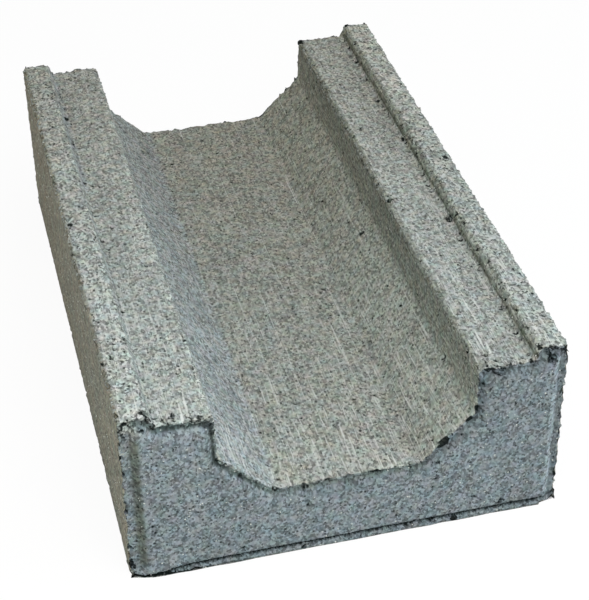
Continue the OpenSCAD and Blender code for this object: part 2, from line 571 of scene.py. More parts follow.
        crease = self._crease_shade(rest)
        hollow_shade = 0.8 * self._lip_crease(rest)
        tree = kdtree.KDTree(count)
        for i, p in enumerate(points):
            tree.insert(p, i)
        tree.balance()
        for damage in self.damages() + self._random_damages(rest, points, normals, arris, underside, rng):
            self._carve(tree, points, hollow_shade, damage)
        points[underside, 2] = rest[underside, 2]
        edge = 0.02 * MM
        points = np.clip(points, np.array(self.low) + [edge, edge, 0], np.array(self.high) - edge)
        mesh.vertices.foreach_set("co", points.reshape(-1))
        tones = self._paint(rest, region_of, edge_of, arris, crease)
        streaks = np.array([FACES[Region(int(r))].streaks for r in region_of])
        openness = np.array([FACES[Region(int(r))].openness for r in region_of])
        on_pad = np.abs(np.abs(rest[:, 1]) - self.half_length - self.pad_proud) < 0.1 * MM
        sandy = openness * (1 - hollow_shade) * np.where((region_of == Region.END.value) & ~on_pad, 0.25, 1.0)
        mesh.attributes.new("hollow_shade", "FLOAT", "POINT").data.foreach_set("value", hollow_shade)
        beside = np.abs(rest[:, 0]) > self.section.width / 2 - 5 * MM
        kept = (rest[:, 2] > 2 * MM) & ((region_of != Region.END.value) | beside)
        crumbled = arris * kept * (1 - smooth_step(hollow_shade, 0.05, 0.4))
        mesh.attributes.new("arris", "FLOAT", "POINT").data.foreach_set("value", crumbled)
        mesh.attributes.new("sandy", "FLOAT", "POINT").data.foreach_set("value", sandy)
        mesh.attributes.new("openness", "FLOAT", "POINT").data.foreach_set("value", openness)
        mesh.attributes.new("streaks", "FLOAT", "POINT").data.foreach_set("value", streaks)
        mesh.attributes.new("tone", "FLOAT_COLOR", "POINT").data.foreach_set("color", tones.reshape(-1))
        mesh.polygons.foreach_set("use_smooth", [True] * len(mesh.polygons))
        mesh.update()

    def _paint(
        self, rest: np.ndarray, region_of: np.ndarray, edge_of: np.ndarray, arris: np.ndarray, crease: np.ndarray
    ) -> np.ndarray:
        """Tone of each point: its face's own, lighter on worn edges, with painted light and shade round the pads, in
        the creases, on the steps, from front to back and in the side lamps' tints.

        Args:
            rest: The clean points.
            region_of: Region number of each point, -1 on the ends.
            edge_of: Region number of the section's outline at each point.
            arris: Share of edge at each point.
            crease: Shade of the creases at each point.

        Returns:
            Linear colours with alpha, one a row.
        """
        tones = np.array([linear_colour(FACES[Region(int(r))].tone) for r in region_of])
        on_end = region_of == Region.END.value
        proud = (np.abs(rest[:, 1]) - self.half_length) / self.pad_proud
        beside = edge_of == Region.SIDE.value
        right = rest[:, 0] > 0
        strip = on_end & (proud < 0.06)
        flank = on_end & (proud < 0.97) & ~strip
        tones[strip & ~beside & (rest[:, 0] < 45 * MM)] = linear_colour(SHADED_STRIP)
        # Painted light on the left step, which faces the right lamp: it takes the ledge's paler tone. The right step
        # keeps the step's dark tone, painted shade, paling to the rim's tone near its top.
        tones[(region_of == Region.STEP.value) & ~right] = linear_colour(FACES[Region.LEDGE].tone)
        step_top = smooth_step(rest[:, 2] + 1.6 * MM * noise_at(rest, 4.5, 15), 107.0 * MM, 109.6 * MM)
        step_top = step_top * (region_of == Region.STEP.value) * right
        tones += step_top[:, None] * (np.array(linear_colour(FACES[Region.RIM].tone)) - tones)
        # Painted shade on the left flank of each pad, which faces away from the right lamp
        from_side = self.section.width / 2 - np.abs(rest[:, 0])
        up_flank = (from_side - self.pad_side_gap) / self.pad_side_flank_run
        dull = smooth_step(up_flank, -0.12, 0.2) * (1 - smooth_step(up_flank, 0.6, 1.15)) * on_end * ~right
        dull *= smooth_step(rest[:, 2], 3 * MM, 12 * MM) * (1 - smooth_step(rest[:, 2], 97 * MM, 103 * MM))
        tones += dull[:, None] * (np.array(linear_colour(LEFT_FLANK_SHADE)) - tones)
        corner = on_end * (rest[:, 1] < 0) * smooth_step(-rest[:, 0], 110 * MM, 117 * MM)
        corner *= smooth_step(rest[:, 2], 99 * MM, 106 * MM)
        tones += corner[:, None] * (np.array(linear_colour(FACES[Region.LEDGE].tone)) - tones)
        gain = np.ones((len(rest), 3))
        # Painted shade on the recessed strip and a painted highlight on the flank beside the right side, which faces
        # the right lamp; painted shade on the flanks under the channel, less of it on the left
        gain[strip & beside & right] *= 0.84
        gain[flank & beside & right] *= 1.36
        high_left = (rest[:, 0] < -74 * MM) & (rest[:, 2] > 94 * MM)
        gain[flank & ~beside] *= 0.84
        gain[flank & ~beside & (rest[:, 0] < -30 * MM)] *= 1.13
        gain[flank & high_left] *= 1.1
        # Painted shade in the creases, a little teal
        gain *= (1 - 0.8 * crease)[:, None]
        gain[:, 0] *= 1 - 0.12 * crease
        gain *= (1 - 0.09 * on_end * smooth_step(rest[:, 0], -20 * MM, 110 * MM))[:, None]
        gain *= (1 + 0.05 * (1 - smooth_step(rest[:, 0], -80 * MM, -40 * MM)) * ~on_end)[:, None]
        worn = arris * np.isin(region_of, [r.value for r in (Region.RIM, Region.LEDGE)])
        gain *= (1 + worn * np.clip(0.12 + 0.3 * noise_at(rest, 4.0, 14), 0, 0.3))[:, None]
        along_body = ~on_end
        # Painted shade towards the back along the body, most on the right-hand faces that look left, and painted light
        # on the rims, the right one towards the back, the left one towards the front
        back = smooth_step(rest[:, 1], -120 * MM, 200 * MM)
        faces_left = right & np.isin(region_of, [r.value for r in (Region.WALL, Region.SLOPE, Region.STEP)])
        gain *= (1 - 0.10 * back * faces_left)[:, None]
        right_rim = right & (region_of == Region.RIM.value)
        gain *= (1 - along_body * back * np.where(right_rim, -0.12, np.where(right, 0.08, 0.11)))[:, None]
        gain[region_of == Region.RIM.value] *= 1.04
        left_rim = ~right & (region_of == Region.RIM.value)
        gain[left_rim] *= 1.07 - 0.09 * back[left_rim, None]
        wall_top = faces_left * smooth_step(rest[:, 2], 80 * MM, 98 * MM) * (region_of == Region.WALL.value)
        gain *= (1 - 0.22 * wall_top)[:, None]
        left_step = (region_of == Region.STEP.value) & ~right & (rest[:, 1] > 40 * MM)
        gain[left_step] *= (0.88, 0.9, 0.95)
        in_chip = np.exp(-(((rest[:, 0] / MM + 111.3) ** 2 + (rest[:, 1] / MM + 131) ** 2) / 9))
        gain *= (1 + 0.25 * in_chip)[:, None]
        front = (1 - smooth_step(rest[:, 1], -200 * MM, -60 * MM)) * along_body
        lit = np.where(region_of == Region.RIM.value, 0.06, np.where(rest[:, 0] < 40 * MM, 0.1, -0.04))
        lit = np.where(faces_left & (region_of == Region.WALL.value), 0.06, lit)
        gain *= (1 + lit * front)[:, None]
        # Painted blue of the right lamp on the left slope, which faces it
        left_slope = ~right & (region_of == Region.SLOPE.value)
        gain[left_slope] *= (0.975, 1.0, 1.03)
        side = region_of == Region.SIDE.value
        warm = noise_at(rest, 12.0, 17)
        gain *= (1 + 0.2 * side * noise_at(rest, 6.5, 16))[:, None]
        gain[:, 0] *= 1 + 0.09 * side * warm
        gain[:, 2] *= 1 - 0.05 * side * warm
        # Warmer towards the back and bluer towards the front; the right-hand faces that look left painted more olive,
        # the tint of the left lamp
        gain[:, 0] *= 1 + along_body * (0.01 + 0.06 * back)
        gain[:, 2] *= 1 + along_body * (0.03 - 0.06 * back - 0.07 * faces_left)
        gain[:, 0] *= 1 - 0.02 * faces_left
        # More painted shade on the right step
        right_step = right & (region_of == Region.STEP.value)
        gain[right_step] *= 0.92
        # Painted warm light on the right slope
        right_slope = right & (region_of == Region.SLOPE.value)
        gain[right_slope] *= (1.04, 1.02, 1.0)
        tones[:, :3] *= gain
        return tones

    def _arris_share(self, rest: np.ndarray, sharp_of: np.ndarray) -> np.ndarray:
        """1 on the outward edges, along the block and round its ends, falling off over a few millimetres."""
        end_run = np.abs(np.abs(rest[:, 1]) - self.half_length)
        round_end = 1 - smooth_step(end_run, 0.4 * MM, 2.6 * MM)
        outline = self.section.outline()
        flat = rest[:, [0, 2]]
        tree = kdtree.KDTree(len(outline))
        for i, p in enumerate(outline):
            tree.insert((p[0], p[1], 0.0), i)
        tree.balance()
        from_outline = np.array([tree.find((x, z, 0.0))[2] for x, z in flat.tolist()])
        round_end *= 1 - smooth_step(from_outline, 1.4 * MM, 3.4 * MM)
        return np.maximum(sharp_of, round_end)

    def _crease_shade(self, rest: np.ndarray) -> np.ndarray:
        """Painted shade in the creases round each pad, above its foot lip and along its foot, from 0 to 1."""
        behind = (self.half_length - np.abs(rest[:, 1])) / self.crease_depth
        outline = self.section.outline(self.pad_side_gap, self.pad_top_gap)
        tree = kdtree.KDTree(len(outline))
        for i, p in enumerate(outline):
            tree.insert((p[0], p[1], 0.0), i)
        tree.balance()
        near_crease = np.array([tree.find((x, z, 0.0))[2] for x, z in rest[:, [0, 2]].tolist()]) < 1.5 * MM
        patchy = np.clip(0.9 + 0.7 * noise_at(rest, 7.0, 12), 0.3, 1.0)
        half_w = self.section.width / 2
        beside = smooth_step(np.abs(rest[:, 0]), half_w - 9 * MM, half_w - 7 * MM)
        fainter = 1 - 0.55 * smooth_step(rest[:, 0], -62 * MM, -42 * MM)
        shade = np.clip(behind * 2.6, 0, 1) * (behind < 1.1) * near_crease * patchy * (1 - beside) * fainter
        out = np.abs(rest[:, 1]) - self.half_length
        on_face = np.abs(out - self.pad_proud) < 0.01 * MM
        z_mm = rest[:, 2] / MM
        over_lip = z_mm - self._lip_top(rest) - 0.6
        lip_crease = np.exp(-((over_lip / 0.9) ** 2)) * patchy
        at_right = (out > -self.crease_depth * 1.01) & (rest[:, 0] > half_w - 12 * MM) & (np.abs(z_mm - 3.7) < 0.95)
        foot = (out > -0.2 * MM) & (z_mm < 0.6) & (z_mm > 0.05)
        left_foot = 0.25 + 0.75 * (1 - smooth_step(rest[:, 0], -70 * MM, -20 * MM))
        return np.maximum.reduce([shade, on_face * lip_crease, at_right * 1.0, foot * left_foot])

    def _lip_crease(self, rest: np.ndarray) -> np.ndarray:
        """Painted shade in the crease above the foot lip and along the foot of the left corner: how near each point is
        to them.
        """
        out = np.abs(rest[:, 1]) - self.half_length
        on_face = np.abs(out - self.pad_proud) < 0.01 * MM
        z_mm = rest[:, 2] / MM
        crease = on_face * np.exp(-(((z_mm - self._lip_top(rest) - 0.6) / 0.9) ** 2))
        foot = (out > -1.0 * MM) & (z_mm < 0.7) & (z_mm > 0.05)
        left_foot = 1.5 * (1 - smooth_step(rest[:, 0], -95 * MM, -65 * MM))
        return np.maximum(crease, foot * left_foot)

    def _lip_top(self, rest: np.ndarray) -> np.ndarray:
        """Height in millimetres of the foot lip's torn upper edge, which runs out at the left corner."""
        reach = self.section.width / 2 - self.pad_side_gap - self.pad_side_flank_run
        torn = noise_at(np.c_[rest[:, 0], np.sign(rest[:, 1]) * 0.1, 0 * rest[:, 0]], 7.0, 8)
        fade = smooth_step(reach + rest[:, 0], -2 * MM, 26 * MM)
        return (self.lip_h / MM + 0.2) * fade + 0.4 * torn

    def _shape_lip(self, rest: np.ndarray, points: np.ndarray) -> None:
        """Pushes out the ragged lip along the foot of each pad, and fills the creases beside it."""
        out = np.abs(rest[:, 1]) - self.half_length
        on_face = np.abs(out - self.pad_proud) < 0.01 * MM
        z_mm = rest[:, 2] / MM
        lip_top = self._lip_top(rest)
        fine = noise_at(rest, 2.6, 9)
        lip = (1 - smooth_step(z_mm - lip_top, -0.5, 0.1)) * np.clip(0.7 + 0.6 * fine, 0.1, 1)
        crease = np.exp(-(((z_mm - lip_top - 0.6) / 0.6) ** 2))
        push = on_face * (lip * self.lip_out - crease * 1.5 * MM)
        from_side = self.section.width / 2 - np.abs(rest[:, 0])
        ramp = smooth_step(from_side, 0.5 * MM, self.pad_side_gap + self.pad_side_flank_run)
        low_down = (1 - smooth_step(z_mm + 1.5 * fine, 2.0, 6.5)) * (out > -1.01 * self.crease_depth)
        push += np.maximum(0.0, self.pad_proud * ramp - out) * low_down * ~on_face
        points[:, 1] += np.sign(rest[:, 1]) * push

    def _carve(self, tree: kdtree.KDTree, points: np.ndarray, hollow_shade: np.ndarray, damage: Damage) -> None:
        """Pushes every point inside a ragged ball out to its surface, which leaves a bowl.

        Args:
            tree: Search tree over the points.
            points: The points, changed in place.
            hollow_shade: Painted shade at each point where a ball leaves a bowl, changed in place.
            damage: The ball.
        """
        centre = np.array([damage.x_mm, damage.y_mm, damage.z_mm]) * MM
        radius = damage.radius_mm * MM
        for _, index, _ in tree.find_range(centre, radius * 1.35):
            away = points[index] - centre
            distance = float(np.linalg.norm(away)) + 1e-9
            rough = min(0.35 * radius, 0.9 * MM)
            ragged = radius + rough * noise.noise(points[index] / (0.5 * radius + 0.9 * MM))
            if distance >= ragged:
                continue
            points[index] = centre + away * (ragged / distance)
            hollow_shade[index] = max(hollow_shade[index], damage.dark * min(1.0, (ragged - distance) / (0.85 * MM)))

    def _random_damages(
        self,
        rest: np.ndarray,
        points: np.ndarray,
        normals: np.ndarray,
        arris: np.ndarray,
        underside: np.ndarray,
        rng: np.random.Generator,
    ) -> list[Damage]:
        """Small crumbled places along the edges, and open pores on every face.

        Args:
            rest: The clean points.
            points: The points after the skin's unevenness.
            normals: Outward directions.
            arris: Share of edge at each point.
            underside: True for points of the underside.
            rng: Source of places and sizes.

        Returns:
            The balls that carve them.
        """
        round_end = np.abs(np.abs(rest[:, 1]) - self.half_length) < 3 * MM
        beside = np.abs(rest[:, 0]) > self.section.width / 2 - 5 * MM
        seat_z = (self.section.height - self.section.seat_depth) / MM
        across = np.abs(rest[:, 0]) / MM
        on_step = (across > 103) & (across < 108.5) & (rest[:, 2] / MM > seat_z - 0.5) & ~round_end
        far_end = round_end & (rest[:, 1] > 0)
        front = (rest[:, 1] < 0) & (np.abs(rest[:, 1]) > self.half_length - 9 * MM) & ~beside
        on_top = front & (normals[:, 2] > 0.7) & (rest[:, 2] / MM > seat_z - 0.5)
        kinds = [
            # Round the ends under the channel, and down the ends' sides
            ((arris > 0.5) & round_end & ~beside & ~underside, 420, 0.9, 1.6, 2.0, 0.9),
            ((arris > 0.3) & round_end & beside & ~underside, 250, 0.9, 1.6, 1.4, 1.2),
            # Larger breaks round the far end, cracks and crumbs on the front of rims and ledges
            ((arris > 0.5) & far_end & ~underside, 60, 1.6, 2.0, 1.5, 0.5),
            (on_top, 70, 0.8, 1.3, 1.5, 1.4),
            # Along the block, on the steps, and pores anywhere
            ((arris > 0.6) & ~round_end & ~underside, 620, 0.8, 1.7, 2.0, 0.8),
            (on_step & (rest[:, 0] > 0), 120, 0.8, 1.2, 1.6, 1.2),
            (on_step & (rest[:, 0] < 0), 24, 0.8, 1.4, 1.4, 1.5),
            ((arris < 0.3) & ~underside, 1100, 0.8, 1.5, 3.0, 1.1),
        ]
        made = []
        for where, count, smallest, spread, rarity, dark in kinds:
            for index in rng.choice(np.flatnonzero(where), count, replace=False):
                radius = smallest + spread * rng.random() ** rarity
                place = points[index] / MM + normals[index] * radius * rng.uniform(0.2, 0.5)
                made.append(Damage(*place, radius, min(1.0, dark * rng.uniform(0.4, 1.0))))
        return made

    def damages(self) -> list[Damage]:
        """The larger chips and pits, each where the block has it."""
        flat = -self.half_length / MM
        near = flat - 1.0
        pad = flat - self.pad_proud / MM - 0.7
        return [
            # Near left corner of the rim, worn down and crumbled
            Damage(-127, near - 2, 119.5, 11.0, 0.1),
            Damage(-122.3, flat, 108.3, 2.0), Damage(-120.7, flat, 109.5, 1.9), Damage(-124.6, flat, 105.8, 1.7),
            Damage(-123.2, flat, 104.8, 1.8), Damage(-121.9, flat, 103.8, 1.6), Damage(-121.6, flat, 100.4, 1.7),
            Damage(-119.8, flat, 102.0, 1.5), Damage(-118.2, flat, 102.6, 1.4), Damage(-124.8, flat, 76.5, 2.0),
            Damage(-125.3, near + 1, 98, 1.9), Damage(-125.3, near, 86, 1.8), Damage(-125, flat, 74.6, 1.7),
            Damage(-125.3, near, 91.5, 1.7), Damage(-113.5, near, 106.0, 1.7),
            Damage(-114.5, near, 112.4, 2.2), Damage(-108.5, near, 110.0, 2.2), Damage(-104, near, 105.4, 1.8),
            Damage(-97, near, 105.2, 1.9), Damage(-91, near + 1, 105.3, 1.6), Damage(-85, near, 105.3, 2.1),
            Damage(-79.5, near + 1, 105.2, 2.0), Damage(-75.5, near, 103.2, 1.7),
            Damage(-125.3, near, 62, 2.1), Damage(-123.2, near, 7.5, 3.0), Damage(-124.5, near, 11.5, 1.9),
            Damage(-125.3, near, 40, 2.1), Damage(-125.3, near, 26, 2.2), Damage(-125.3, near, 33, 1.8),
            # Right end of the near edge: ledge, wall, slope and floor
            Damage(78.0, flat, 104.8, 2.5), Damage(80.4, flat, 104.6, 2.8), Damage(83, flat, 104.9, 2.3),
            Damage(85.2, flat, 105.2, 1.5), Damage(96, near, 105.6, 1.3), Damage(73.4, near, 77.5, 2.9),
            Damage(72.4, flat, 83.2, 1.5), Damage(72.2, flat, 87.5, 1.4), Damage(72.0, flat, 92.5, 1.2),
            Damage(73, near, 73, 2.4), Damage(69, near, 70.4, 2.9), Damage(65, near, 66.8, 2.2),
            Damage(53.6, near + 1, 58.4, 4.4), Damage(58.8, near, 62.2, 2.5, 0.8), Damage(49.4, near, 55.0, 2.4, 0.7),
            Damage(16, near, 46.0, 2.8), Damage(19.6, near, 46.0, 2.1), Damage(12.4, near, 46.0, 1.9),
            Damage(-35, near, 47.4, 1.7), Damage(-12, near, 46.4, 1.5), Damage(103, near, 104, 2.0),
            # Near right corner of the rim
            Damage(125, near, 113, 3.2, 0.4), Damage(106.5, near - 1, 113, 5.6, 0.3), Damage(107, near, 108, 1.9, 0.6),
            Damage(110.5, near, 110.6, 1.9, 0.6), Damage(126.5, near + 8, 112, 2.6, 0.4), Damage(71.5, near - 1, 106.5, 5.2, 0.2),
            # Pits and a short crack on the near pad
            Damage(-59, pad, 12.5, 1.9, 0.7), Damage(-61.5, pad, 22, 2.3, 0.7), Damage(-63, pad, 17, 1.6, 0.6),
            Damage(-74, pad, 34, 1.6, 0.6), Damage(36, pad, 30, 1.7, 0.6), Damage(75, pad, 56, 1.8, 0.7),
            Damage(78, pad, 55, 1.4, 0.6), Damage(88, pad, 58.2, 1.3, 0.7), Damage(90, pad, 58.6, 1.4, 0.8),
            Damage(92, pad, 59, 1.4, 0.8), Damage(94, pad, 60, 1.6, 0.8), Damage(96, pad, 61.6, 1.8, 0.8),
            Damage(97.5, pad, 60, 1.4, 0.7),
            # Left rim and ledge
            Damage(-121, -7, 112.6, 2.6), Damage(-119, -4, 112.7, 1.8), Damage(-123, -11, 112.6, 1.9),
            Damage(-115.4, -129, 111.9, 1.8), Damage(-114.6, -134.8, 111.9, 1.8), Damage(-110, -137, 111.9, 2.0),
            Damage(-107.6, -132, 111.8, 1.6), Damage(-108.6, -126.8, 111.9, 1.8), Damage(-113, -125, 111.9, 1.5),
            Damage(-112, 168, 112.6, 2.2), Damage(-115, 110, 112.4, 2.0), Damage(-103.0, 166, 105.0, 1.9),
            Damage(-105.6, 148, 105.9, 1.8), Damage(-103.6, 131, 105.0, 2.1), Damage(-106.2, 114, 107.0, 1.4),
            Damage(-104.2, 97, 105.0, 2.0), Damage(-101.2, 90, 105.0, 1.7),
            Damage(-96, 42, 105.2, 2.1), Damage(-79, 10.5, 105.2, 2.0), Damage(-96, -87, 105.2, 2.0),
            Damage(-81, -104.5, 105.2, 1.9), Damage(-88, -150, 105.2, 1.6),
            # Right rim, its outer edge and the ledge
            Damage(122.5, 60, 112.7, 2.3), Damage(121, 5.5, 112.7, 2.6), Damage(115, 15.5, 112.6, 2.2),
            Damage(115, 40.5, 112.6, 2.1), Damage(122, -147, 112.6, 2.1), Damage(115, 168, 112.6, 2.2),
            Damage(126.8, -2, 112.4, 3.4, 0.5), Damage(126.6, 30, 112.2, 2.6, 0.4),
            Damage(126.6, -60, 112.2, 2.5, 0.4), Damage(126.8, 120, 112.2, 2.6, 0.4),
            Damage(92, 55, 105.2, 1.8), Damage(84, -62, 105.2, 1.7),
            # Channel floor and slopes
            Damage(-8, 92, 46.7, 2.0), Damage(-15, 95, 46.6, 1.6), Damage(20, 88, 46.6, 1.5),
            Damage(-28, -20, 46.6, 1.6), Damage(31, -88, 46.6, 1.6), Damage(60, 20, 63.6, 1.8),
            Damage(64, 0, 67.4, 2.0), Damage(57, -25, 60.8, 1.6),
        ]


# Sand and grit that stand out of the skin


@dataclass(frozen=True)
class SandScatter:
    """Grains of sand half sunk in the block's skin.

    Attributes:
        name: Name of the piece.
        per_square_metre: How many grains stand on a square metre.
        radius_min: Smallest radius of a grain.
        radius_max: Largest radius of a grain.
        sink: How deep a grain's middle lies below the skin.
        seed: Seed of the scatter.
        where: Name of the skin's attribute that the scatter's density follows.
    """

    name: str
    per_square_metre: float
    radius_min: float
    radius_max: float
    sink: float
    seed: int
    where: str

    def tree(self) -> bpy.types.NodeTree:
        """Builds the scatter as a geometry node tree with named inputs."""
        tree = bpy.data.node_groups.new(f"{self.name}_scatter", "GeometryNodeTree")
        for name, kind in (
            ("Skin", "NodeSocketGeometry"),
            ("Grains per square metre", "NodeSocketFloat"),
            ("Smallest radius", "NodeSocketFloat"),
            ("Largest radius", "NodeSocketFloat"),
            ("Sink", "NodeSocketFloat"),
            ("Seed", "NodeSocketInt"),
            ("Finish", "NodeSocketMaterial"),
        ):
            tree.interface.new_socket(name=name, in_out="INPUT", socket_type=kind)
        tree.interface.new_socket(name="Grains", in_out="OUTPUT", socket_type="NodeSocketGeometry")
        given = add_node(tree, "NodeGroupInput").outputs
        normal = add_node(tree, "GeometryNodeInputNormal").outputs["Normal"]
        height = add_node(tree, "ShaderNodeSeparateXYZ", {0: normal}).outputs["Z"]
        upward = add_node(tree, "FunctionNodeCompare", {0: height, 1: -0.4}, operation="GREATER_THAN")
        followed = add_node(tree, "GeometryNodeInputNamedAttribute", {"Name": self.where}, data_type="FLOAT")
        density = add_node(
            tree,
            "ShaderNodeMath",
            {0: followed.outputs[0], 1: given["Grains per square metre"]},
            operation="MULTIPLY",
        )
        spread = add_node(
            tree,
            "GeometryNodeDistributePointsOnFaces",
            {
                "Mesh": given["Skin"],
                "Selection": upward.outputs[0],
                "Density": density.outputs[0],
                "Seed": given["Seed"],
            },
        )
        depth = add_node(tree, "ShaderNodeMath", {0: given["Sink"], 1: -1.0}, operation="MULTIPLY")
        inward = add_node(
            tree, "ShaderNodeVectorMath", {0: spread.outputs["Normal"], "Scale": depth.outputs[0]}, operation="SCALE"
        )
        sunk = add_node(
            tree, "GeometryNodeSetPosition", {"Geometry": spread.outputs["Points"], "Offset": inward.outputs[0]}
        )
        grain = add_node(tree, "GeometryNodeMeshIcoSphere", {"Radius": 1.0, "Subdivisions": 1})
        turn = add_node(
            tree,
            "FunctionNodeRandomValue",
            {"Min": (0.0, 0.0, 0.0), "Max": (math.tau, math.tau, math.tau), "Seed": given["Seed"]},
            data_type="FLOAT_VECTOR",
        )
        low = add_node(tree, "ShaderNodeCombineXYZ", {i: given["Smallest radius"] for i in range(3)})
        high = add_node(tree, "ShaderNodeCombineXYZ", {i: given["Largest radius"] for i in range(3)})
        size = add_node(
            tree,
            "FunctionNodeRandomValue",
            {"Min": low.outputs[0], "Max": high.outputs[0], "Seed": given["Seed"]},
            data_type="FLOAT_VECTOR",
        )
        placed = add_node(
            tree,
            "GeometryNodeInstanceOnPoints",
            {
                "Points": sunk.outputs[0],
                "Instance": grain.outputs["Mesh"],
                "Rotation": turn.outputs[0],
                "Scale": size.outputs[0],
            },
        )
        real = add_node(tree, "GeometryNodeRealizeInstances", {"Geometry": placed.outputs[0]})
        dressed = add_node(tree, "GeometryNodeSetMaterial", {"Geometry": real.outputs[0], "Material": given["Finish"]})
        add_node(tree, "NodeGroupOutput", {"Grains": dressed.outputs[0]})
        return tree

    def build(self, skin: bpy.types.Object, finish: bpy.types.Material, low: Vector, high: Vector) -> bpy.types.Object:
        """Scatters the grains over the skin and turns them into a plain mesh.

        Args:
            skin: The block that the grains stand in.
            finish: Their material.
            low: Lowest corner that a grain may reach.
            high: Highest corner that a grain may reach.

        Returns:
            The grains as one object, at the origin.
        """
        source = bpy.data.objects.new(f"{self.name}_source", skin.data.copy())
        bpy.context.scene.collection.objects.link(source)
        modifier = source.modifiers.new("scatter", "NODES")
        modifier.node_group = self.tree()
        values = {
            "Grains per square metre": self.per_square_metre,
            "Smallest radius": self.radius_min,
            "Largest radius": self.radius_max,
            "Sink": self.sink,
            "Seed": self.seed,
            "Finish": finish,
        }
        for item in modifier.node_group.interface.items_tree:
            if item.in_out == "INPUT" and item.name in values:
                modifier[item.identifier] = values[item.name]
        evaluated = source.evaluated_get(bpy.context.evaluated_depsgraph_get())
        mesh = bpy.data.meshes.new_from_object(evaluated)
        bpy.data.objects.remove(source, do_unlink=True)
        mesh.name = self.name
        points = np.empty(len(mesh.vertices) * 3)
        mesh.vertices.foreach_get("co", points)
        points = np.clip(points.reshape(-1, 3), np.array(low), np.array(high))
        mesh.vertices.foreach_set("co", points.reshape(-1))
        mesh.update()
        grains = bpy.data.objects.new(self.name, mesh)
        bpy.context.scene.collection.objects.link(grains)
        return grains


# Finishes


